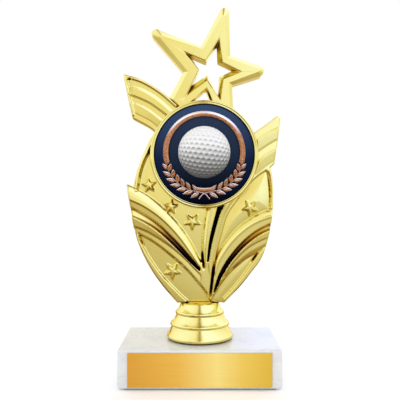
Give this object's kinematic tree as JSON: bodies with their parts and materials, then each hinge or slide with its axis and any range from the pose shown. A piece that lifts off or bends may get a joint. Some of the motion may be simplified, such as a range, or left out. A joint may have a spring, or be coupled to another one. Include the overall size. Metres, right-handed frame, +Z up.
{
  "type": "star trophy",
  "caption": "Gold trophy figure with an open star, feather wings and a round golf ball insert, on a stepped foot and a marble block with a blank name plate.",
  "frame": {"origin": "centre of the marble block's footprint, on the underside of the felt sheet that it stands on", "axes": "+Z up, +X to the right of a person who faces the trophy's front, -Y out of the front face with the name plate"},
  "size_m": [0.0822, 0.0507, 0.1932],
  "materials": {
    "gold": "vacuum metallised pale gold, bright",
    "marble": "polished white with faint grey veins",
    "plate_gold": "satin gold anodised",
    "navy": "satin navy",
    "bronze": "satin copper bronze",
    "ball_white": "white gloss",
    "steel": "zinc plated",
    "felt": "green felt",
    "tape": "white foam tape"
  },
  "bodies": {
    "root": {"felt_sheet": "felt", "marble_base": "marble", "plate_tape": "tape", "name_plate": "plate_gold", "stepped_foot": "gold", "star_frame": "gold", "front_shell": "gold", "back_shell": "gold", "insert_tape": "tape", "insert_disc": "navy", "laurel_ring": "bronze", "golf_ball": "ball_white", "threaded_rod": "steel", "base_washer": "steel", "spring_washer": "steel", "rod_nuts": "steel"}
  },
  "joints": []
}
